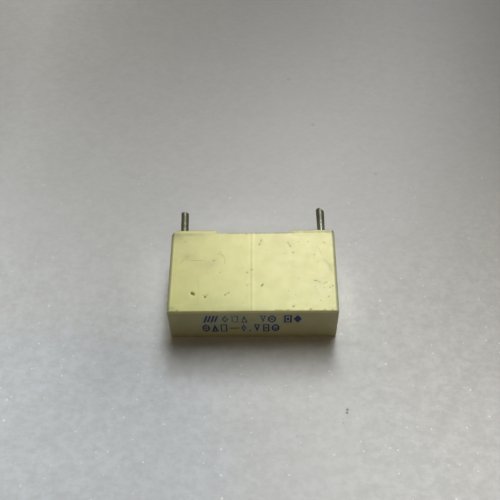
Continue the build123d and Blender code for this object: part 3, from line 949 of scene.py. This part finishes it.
def case_material():
    m = Nodes("aged_cream_plastic")
    c = plastic_colour(m)
    # stains, with painted fill light and painted shade on the closed end and a painted highlight beside the witness
    # ridge
    keep = m.n("ShaderNodeVectorMath", operation="SCALE")
    m.l(c, keep.inputs[0])
    m.l(m.math("SUBTRACT", 1.0, m.attr("stain_and_shade")), keep.inputs["Scale"])
    c = keep.outputs[0]
    # painted shade on the rounded long edges, greyed as a painted reflection of the floor
    c = m.mix(m.math("MULTIPLY", m.attr("edge_shade"), 0.86, clamp=True), c, m.mix(1.0, c, (0.48, 0.52, 0.92, 1), mode="MULTIPLY"))
    # painted shade at the feet's steps, lips and groove, with blotchy dirt in the band
    c = m.mix(m.math("MULTIPLY", m.attr("foot_shade_and_dirt"), 1.0, clamp=True), c, m.mix(1.0, c, (0.50, 0.52, 0.43, 1), mode="MULTIPLY"))
    # painted shade along the end of the right foot
    c = m.mix(m.attr("end_r"), c, m.mix(1.0, c, (0.42, 0.43, 0.36, 1), mode="MULTIPLY"))
    # painted highlight along the top of the closed end
    c = m.mix(m.math("MULTIPLY", m.attr("near_top_highlight"), 1.0, clamp=True), c, m.mix(1.0, c, (1.62, 1.60, 1.30, 1), mode="MULTIPLY"))
    c = m.mix(m.math("MULTIPLY", m.attr("worn_edge"), 0.42, clamp=True), c, (0.80, 0.79, 0.42, 1))
    # painted highlight on the rounded edge above the closed end
    c = m.mix(m.math("MULTIPLY", m.attr("near_arc_highlight"), 0.9, clamp=True), c, m.mix(1.0, c, (1.15, 1.17, 1.64, 1), mode="MULTIPLY"))
    # painted shade over the closed end
    c = m.mix(m.attr("near_face"), c, m.mix(1.0, c, NEAR_SHADE, mode="MULTIPLY"))
    c = m.mix(m.attr("haze"), c, m.mix(1.0, c, (0.90, 1.0, 1.22, 1), mode="MULTIPLY"))
    c = m.mix(m.math("MULTIPLY", m.attr("pale"), 1.0, clamp=True), c, (0.86, 0.85, 0.50, 1))
    # hair lines
    broken = m.ramp(m.noise(5.0, 3.0, 0.6, 0.0, w=7.7), 0.30, 0.60, 0.55, 1.0)
    c = m.mix(m.math("MULTIPLY", m.math("MULTIPLY", m.attr("scratch"), broken), 1.05, clamp=True), c, srgb(130, 128, 62))
    # specks of dirt, with a ragged outline and a faint halo
    wob = m.math("MULTIPLY", m.math("SUBTRACT", m.noise(14.0, 3.0, 0.6, 0.0, w=9.1), 0.5), 0.11)
    d = m.math("ADD", m.attr("speck"), wob)
    core = m.math("MULTIPLY", m.ramp(d, -0.03, 0.04, 1.0, 0.0), m.math("MULTIPLY", m.attr("speck_k"), 1.15, clamp=True))
    halo = m.math("MULTIPLY", m.ramp(d, 0.0, 0.16, 1.0, 0.0), m.math("MULTIPLY", m.attr("speck_k"), 0.30))
    c = m.mix(halo, c, (0.34, 0.33, 0.10, 1))
    c = m.mix(core, c, DIRT)
    # worn chips and the dark line at the rim
    c = m.mix(m.math("MULTIPLY", m.attr("chip"), 0.60, clamp=True), c, srgb(140, 134, 80))
    c = m.mix(m.math("MULTIPLY", m.attr("rim_line"), 0.90, clamp=True), c, (0.17, 0.16, 0.07, 1))
    m.l(c, m.p.inputs["Base Color"])
    r = m.ramp(m.noise(1.1, 4.0, 0.6, 0.3, w=5.5), 0.3, 0.7, 0.27, 0.34)
    r = m.math("ADD", r, m.math("MULTIPLY", core, 0.3))
    m.l(r, m.p.inputs["Roughness"])
    m.p.inputs["IOR"].default_value = 1.38
    n1 = m.bump(m.noise(16.0, 3.0, 0.6, 0.0, w=3.3), 0.35, 0.004)
    n2 = m.bump(m.noise(1.6, 3.0, 0.5, 0.0, w=6.3), 0.30, 0.010, n1)
    m.l(n2, m.p.inputs["Normal"])
    return m.mat


def ink_material():
    m = Nodes("worn_blue_ink")
    base = plastic_colour(m)
    patch = m.noise(7.0, 4.0, 0.65, 0.3, w=12.1)
    fine = m.noise(26.0, 2.0, 0.6, 0.0, w=14.0)
    level = m.math("ADD", m.math("MULTIPLY", patch, 0.8), m.math("MULTIPLY", fine, 0.2))
    edge = m.ramp(m.attr("wear"), 0.0, 1.0, 0.28, 0.68, smooth=False)
    cover = m.ramp(m.math("SUBTRACT", level, edge), -0.06, 0.10)
    # the closed end's painted shade on the plastic under the ink
    base = m.mix(1.0, base, NEAR_SHADE, mode="MULTIPLY")
    blue = m.mix(m.ramp(m.noise(3.5, 2.0, 0.5, 0.0, w=15.0), 0.35, 0.65), srgb(34, 42, 128), srgb(20, 30, 78))
    m.l(m.mix(cover, base, blue), m.p.inputs["Base Color"])
    m.p.inputs["Roughness"].default_value = 0.45
    m.p.inputs["IOR"].default_value = 1.50
    m.l(m.bump(m.noise(18.0, 3.0, 0.6, 0.0, w=3.3), 0.35, 0.004), m.p.inputs["Normal"])
    return m.mat


def wire_material(name, bright, rough, seed, base, blue):
    """Dull tinned wire: greenish grey, blotched, with cleaner tin here and there."""
    m = Nodes(name)
    tone = m.noise(3.4, 4.0, 0.62, 0.5, w=seed)
    clean = tuple(bright * v for v in (0.168, 0.176, 0.126 * blue)) + (1,)
    dull = tuple(bright * v for v in (0.112, 0.117, 0.076 * blue)) + (1,)
    c = m.mix(m.ramp(tone, 0.36, 0.66), clean, dull)
    fresh = m.math("MULTIPLY", m.attr("base_clean"), m.ramp(tone, 0.40, 0.62, base, 0.6 * base))
    c = m.mix(fresh, c, (0.212, 0.213, 0.176 * blue, 1))
    spots = m.ramp(m.noise(8.0, 3.0, 0.6, 0.2, w=seed + 2), 0.54, 0.70, 0.0, 0.6)
    c = m.mix(spots, c, (0.075, 0.078, 0.050, 1))
    c = m.mix(m.math("MULTIPLY", m.attr("cut"), 0.6), c, (0.30, 0.26, 0.19, 1))
    m.l(c, m.p.inputs["Base Color"])
    m.p.inputs["Metallic"].default_value = 0.50
    r = m.math("SUBTRACT", m.ramp(tone, 0.3, 0.7, rough, rough + 0.12), m.math("MULTIPLY", fresh, 0.215))
    m.l(r, m.p.inputs["Roughness"])
    n1 = m.bump(m.noise(10.0, 3.0, 0.6, 0.0, w=seed + 4, stretch=(1.6, 0.5, 1.6)), 0.5, 0.010)
    n2 = m.bump(m.noise(30.0, 2.0, 0.6, 0.0, w=seed + 6, stretch=(1.0, 0.12, 1.0)), 0.4, 0.004, n1)
    m.l(n2, m.p.inputs["Normal"])
    return m.mat


def resin_material():
    m = Nodes("potting_resin_ochre")
    c = m.mix(m.ramp(m.noise(0.9, 4.0, 0.6, 0.5, w=21.0), 0.35, 0.68), srgb(206, 190, 128), srgb(188, 170, 108))
    pits = m.ramp(m.noise(6.5, 1.0, 0.4, 0.0, w=22.0), 0.70, 0.78)
    c = m.mix(m.math("MULTIPLY", pits, 0.55), c, srgb(120, 104, 58))
    m.l(c, m.p.inputs["Base Color"])
    m.l(m.ramp(m.noise(1.4, 3.0, 0.5, 0.0, w=23.0), 0.3, 0.7, 0.20, 0.34), m.p.inputs["Roughness"])
    m.p.inputs["IOR"].default_value = 1.55
    n1 = m.bump(m.noise(0.8, 2.0, 0.5, 0.0, w=24.0), 0.45, 0.05)
    pit = m.math("MULTIPLY", pits, -1.0)
    n2 = m.bump(pit, 0.5, 0.03, n1)
    m.l(n2, m.p.inputs["Normal"])
    return m.mat


def film_material():
    m = Nodes("metallised_film")
    turns = m.noise(1.0, 2.0, 0.5, 0.0, w=31.0, stretch=(0.15, 9.0, 9.0))
    m.l(m.mix(m.ramp(turns, 0.35, 0.65), srgb(208, 209, 212), srgb(176, 178, 184)), m.p.inputs["Base Color"])
    m.p.inputs["Metallic"].default_value = 0.8
    m.l(m.ramp(turns, 0.3, 0.7, 0.18, 0.34), m.p.inputs["Roughness"])
    m.l(m.bump(turns, 0.4, 0.02), m.p.inputs["Normal"])
    return m.mat


def spray_material():
    m = Nodes("sprayed_metal")
    grain = m.noise(11.0, 4.0, 0.7, 0.0, w=41.0)
    m.l(m.mix(m.ramp(grain, 0.35, 0.65), srgb(150, 149, 146), srgb(110, 109, 107)), m.p.inputs["Base Color"])
    m.p.inputs["Metallic"].default_value = 1.0
    m.l(m.ramp(grain, 0.3, 0.7, 0.55, 0.75), m.p.inputs["Roughness"])
    m.l(m.bump(grain, 0.8, 0.03), m.p.inputs["Normal"])
    return m.mat


def assign(ob, mat):
    ob.data.materials.clear()
    ob.data.materials.append(mat)


assign(case, case_material())
assign(print_marks, ink_material())
assign(left_wire, wire_material("tinned_wire_left", 0.76, 0.40, 51.0, 1.15, 0.92))
assign(right_wire, wire_material("tinned_wire_right", 0.78, 0.36, 61.0, 1.0, 0.97))
assign(nodes["potting_resin"], resin_material())
assign(nodes["film_winding"], film_material())
spray = spray_material()
assign(nodes["left_end_spray"], spray)
assign(nodes["right_end_spray"], spray)

# ------------------------------------------------------------------ floor
floor_me = bpy.data.meshes.new("floor")
s = 0.9
floor_me.from_pydata([(-s, -s, 0), (s, -s, 0), (s, s, 0), (-s, s, 0)], [], [(0, 1, 2, 3)])
floor = bpy.data.objects.new("floor", floor_me)
scene.collection.objects.link(floor)
m = Nodes("pale_floor")
sep = m.n("ShaderNodeSeparateXYZ")
m.l(m.co, sep.inputs[0])
fx = m.ramp(sep.outputs[0], -30.0, 30.0, -1.5, 1.5, smooth=False)      # 20 mm units
fy = m.ramp(sep.outputs[1], -36.0, 72.0, -0.9, 1.8, smooth=False)      # 40 mm units
# painted light falloff over the sheet, darker far behind the object: constant, x, y, x squared, y squared, xy, y cubed
FLOOR_LIGHT_FALLOFF = (-0.0081, -0.1550, -0.9263, 0.0760, -0.3462, -0.2707, 0.3196)
e = m.math("ADD", m.math("MULTIPLY", fx, FLOOR_LIGHT_FALLOFF[1]), m.math("MULTIPLY", fy, FLOOR_LIGHT_FALLOFF[2]))
e = m.math("ADD", e, m.math("ADD", m.math("MULTIPLY", m.math("MULTIPLY", fx, fx), FLOOR_LIGHT_FALLOFF[3]), m.math("MULTIPLY", m.math("MULTIPLY", fy, fy), FLOOR_LIGHT_FALLOFF[4])))
e = m.math("ADD", e, m.math("MULTIPLY", m.math("MULTIPLY", fx, fy), FLOOR_LIGHT_FALLOFF[5]))
e = m.math("ADD", e, m.math("MULTIPLY", m.math("MULTIPLY", m.math("MULTIPLY", fy, fy), fy), FLOOR_LIGHT_FALLOFF[6]))
# painted light and shade on the floor round the object, a deeper cast shadow in front and paler floor beside and
# behind: x, y, radius x, radius y, how much
for gx, gy, rx, ry, k in (
    (-11.0, 2.6, 2.6, 5.0, 0.16), (10.0, 0.8, 2.2, 5.0, 0.19), (-2.6, 11.6, 7.5, 2.2, 0.09), (-14.4, -8.4, 4.2, 6.0, -0.11),
    (9.8, -1.0, 1.0, 2.6, 0.10), (-7.4, -6.6, 1.9, 1.1, -0.26), (-5.2, -6.0, 3.6, 0.42, -0.24), (7.7, -6.0, 2.2, 0.42, -0.14), (8.3, -8.0, 0.8, 2.6, -0.14), (0.3, -8.0, 4.2, 0.7, 0.06), (0.0, -9.8, 7.0, 0.7, -0.04), (0.2, 9.9, 6.0, 0.9, 0.09), (-5.2, 9.7, 2.6, 0.9, 0.05), (0.0, -6.05, 9.0, 0.50, -0.15), (0.0, -12.6, 6.0, 2.0, 0.05), (12.0, 14.0, 3.2, 5.0, -0.05),
):
    gu = m.ramp(sep.outputs[0], gx - rx, gx + rx, -1.0, 1.0, smooth=False)
    gv = m.ramp(sep.outputs[1], gy - ry, gy + ry, -1.0, 1.0, smooth=False)
    gu.node.clamp = gv.node.clamp = False
    q = m.math("ADD", m.math("MULTIPLY", gu, gu), m.math("MULTIPLY", gv, gv))
    e = m.math("ADD", e, m.math("MULTIPLY", m.math("EXPONENT", m.math("MULTIPLY", q, -1.0)), k))
painted_light_gain = m.math("EXPONENT", m.math("ADD", e, FLOOR_LIGHT_FALLOFF[0]))
tone = m.mix(m.ramp(m.math("ADD", fy, m.math("MULTIPLY", fx, 0.5)), -0.6, 1.2, smooth=False), (0.435, 0.458, 0.480, 1), (0.478, 0.458, 0.412, 1))
cool = m.math("MULTIPLY", m.ramp(sep.outputs[0], 3.0, -7.0), m.ramp(sep.outputs[1], 1.0, -9.0))
tone = m.mix(cool, tone, m.mix(1.0, tone, (0.962, 1.0, 1.045, 1), mode="MULTIPLY"))
rougher = m.math("MULTIPLY", m.ramp(sep.outputs[1], 14.0, -8.0, 0.58, 1.0), m.ramp(sep.outputs[0], 8.0, 12.0, 1.0, 1.35))
beside = m.math("MULTIPLY", m.math("MULTIPLY", m.ramp(sep.outputs[1], -8.8, -7.4), m.ramp(sep.outputs[1], 5.5, 4.5)), m.ramp(m.math("ABSOLUTE", sep.outputs[0]), 9.4, 8.6))
dotted = m.math("MULTIPLY", m.ramp(sep.outputs[1], 10.0, 26.0, 1.0, 0.12), m.math("SUBTRACT", 1.0, beside))
# painted warm bounce light from the case in the floor's shadow in front of it
bounce_tint = m.math("MULTIPLY", m.math("MULTIPLY", m.ramp(sep.outputs[1], -6.9, -5.6), m.ramp(sep.outputs[1], 5.5, 4.5)), m.ramp(m.math("ABSOLUTE", sep.outputs[0]), 9.4, 8.6))
tone = m.mix(bounce_tint, tone, m.mix(1.0, tone, (1.04, 0.985, 0.93, 1), mode="MULTIPLY"))
tone = m.mix(m.ramp(m.noise(0.13, 3.0, 0.55, 0.0, w=71.0), 0.30, 0.70, 0.0, 0.11), tone, (0.30, 0.30, 0.29, 1))
tone = m.mix(m.math("MULTIPLY", m.ramp(m.noise(0.62, 3.0, 0.6, 0.3, w=74.0), 0.34, 0.66, 0.0, 0.18), rougher), tone, (0.28, 0.285, 0.27, 1))
tone = m.mix(m.math("MULTIPLY", m.ramp(m.noise(1.7, 3.0, 0.65, 0.2, w=72.0, stretch=(0.8, 1.1, 1.0)), 0.36, 0.66, 0.0, 0.26), rougher), tone, (0.27, 0.275, 0.26, 1))
# small pale dots, of uneven size and strength
cells = m.n("ShaderNodeTexVoronoi", voronoi_dimensions="2D", feature="F1")
cells.inputs["Scale"].default_value = 0.36
m.l(m.co, cells.inputs["Vector"])
pick = m.n("ShaderNodeSeparateColor")
m.l(cells.outputs["Color"], pick.inputs[0])
size_ = m.ramp(pick.outputs[0], 0.25, 1.0, 0.0, 0.055)
dot = m.ramp(m.math("SUBTRACT", cells.outputs["Distance"], size_), -0.035, 0.012, 1.0, 0.0)
fleck = m.math("MULTIPLY", m.math("MULTIPLY", dot, dotted), m.ramp(pick.outputs[1], 0.0, 1.0, 0.10, 0.42))
tone = m.mix(fleck, tone, (0.86, 0.87, 0.86, 1))
fine = m.n("ShaderNodeTexVoronoi", voronoi_dimensions="2D", feature="F1")
fine.inputs["Scale"].default_value = 0.85
m.l(m.co, fine.inputs["Vector"])
pick2 = m.n("ShaderNodeSeparateColor")
m.l(fine.outputs["Color"], pick2.inputs[0])
dot2 = m.ramp(m.math("SUBTRACT", fine.outputs["Distance"], m.ramp(pick2.outputs[0], 0.45, 1.0, 0.0, 0.085)), -0.045, 0.03, 1.0, 0.0)
tone = m.mix(m.math("MULTIPLY", m.math("MULTIPLY", dot2, m.math("MULTIPLY", dotted, rougher)), m.ramp(pick2.outputs[1], 0.2, 1.0, 0.0, 0.40)), tone, (0.80, 0.81, 0.80, 1))
# a few dark grains, and pale ones below 0: x, y, radius, how strong
for gx, gy, gr, k in (
    (9.43, -13.46, 0.130, 0.86), (9.38, -13.79, 0.125, 0.82), (8.96, -14.45, 0.10, 0.16), (8.93, -14.85, 0.11, 0.24), (7.52, 25.58, 0.26, 0.24), (4.61, 33.88, 0.30, 0.17), (-2.85, 13.76, 0.13, -0.40), (11.25, 12.84, 0.13, -0.40), (5.09, 15.51, 0.12, -0.28), (14.82, 17.28, 0.21, 0.30), (-10.3, -12.35, 0.16, 0.16),
    (13.0, -9.0, 0.10, 0.20), (-12.6, -3.2, 0.10, 0.16), (4.3, -16.2, 0.09, 0.22),
):
    far = m.n("ShaderNodeVectorMath", operation="DISTANCE")
    m.l(m.co, far.inputs[0])
    far.inputs[1].default_value = (gx, gy, 0.0)
    tone = m.mix(m.ramp(far.outputs["Value"], 0.3 * gr, 1.6 * gr, abs(k), 0.0), tone, (0.035, 0.035, 0.032, 1) if k > 0 else (0.86, 0.87, 0.86, 1))
# the floor's colour scaled by its painted light and shade
sc_ = m.n("ShaderNodeVectorMath", operation="SCALE")
m.l(tone, sc_.inputs[0])
m.l(painted_light_gain, sc_.inputs["Scale"])
m.l(sc_.outputs[0], m.p.inputs["Base Color"])
m.p.inputs["Roughness"].default_value = 0.35
m.p.inputs["IOR"].default_value = 1.40
assign(floor, m.mat)

# ------------------------------------------------------------------ light
world = bpy.data.worlds.new("world")
scene.world = world
world.use_nodes = True
world.node_tree.nodes["Background"].inputs[0].default_value = (1.0, 0.79, 0.50, 1)
world.node_tree.nodes["Background"].inputs[1].default_value = 0.178


# One broad soft source overhead and behind, a little to the right: each patch is seen from the object in the
# direction (tx, ty, 1), spans wx by wy in those units, and has its own brightness.
PATCHES = [
    (0.165, 0.17, 0.13, 0.15, 3.6),
    (0.24, 0.343, 0.28, 0.185, 2.1),
    (0.10, 0.518, 0.25, 0.165, 2.1),
    (0.10, 0.68, 0.25, 0.16, 3.5),
    (-0.17, 0.853, 0.26, 0.185, 1.6),
    (0.085, 0.853, 0.25, 0.185, 4.0),
    (0.305, 0.853, 0.19, 0.185, 2.0),
    (-0.17, 1.073, 0.26, 0.255, 0.9),
    (0.085, 1.073, 0.25, 0.255, 2.0),
    (0.305, 1.073, 0.19, 0.255, 4.0),
    (0.315, 1.388, 0.18, 0.375, 1.2),
    (0.315, 1.888, 0.18, 0.625, 0.5),
    (0.60, 2.60, 0.90, 0.80, 1.45),
    (1.30, 0.343, 0.50, 0.185, 0.56),
]
H = 0.5
for i, (tx, ty, wx, wy, bright) in enumerate(PATCHES):
    li = bpy.data.lights.new("soft_%02d" % i, "AREA")
    li.shape = "RECTANGLE"
    li.size = wx * H
    li.size_y = wy * H
    li.energy = 14.35 * bright * li.size * li.size_y
    li.color = (0.965, 0.985, 1.0)
    ob = bpy.data.objects.new("soft_%02d" % i, li)
    ob.location = (tx * H, ty * H, H)
    scene.collection.objects.link(ob)

# ------------------------------------------------------------------ camera
CAM = (1.275, -47.268, 76.755)
RIGHT = Vector((0.99981, 0.00415, -0.01923))
UP = Vector((0.00758, 0.82081, 0.57116))
cam_data = bpy.data.cameras.new("camera")
cam_data.sensor_fit = "HORIZONTAL"
cam_data.sensor_width = 36.0
cam_data.lens = 818.75 / 500 * 36.0
cam_data.clip_start = 0.005
cam_data.clip_end = 10.0
cam = bpy.data.objects.new("camera", cam_data)
scene.collection.objects.link(cam)
back = RIGHT.cross(UP).normalized()
up = back.cross(RIGHT).normalized()
rot = Matrix((RIGHT.normalized(), up, back)).transposed()
cam.matrix_world = Matrix.Translation(Vector(CAM) * MM) @ rot.to_4x4()
scene.camera = cam

scene.view_settings.view_transform = "Standard"
scene.view_settings.look = "None"
scene.view_settings.exposure = 0.0
scene.view_settings.gamma = 1.0

bpy.context.view_layer.update()
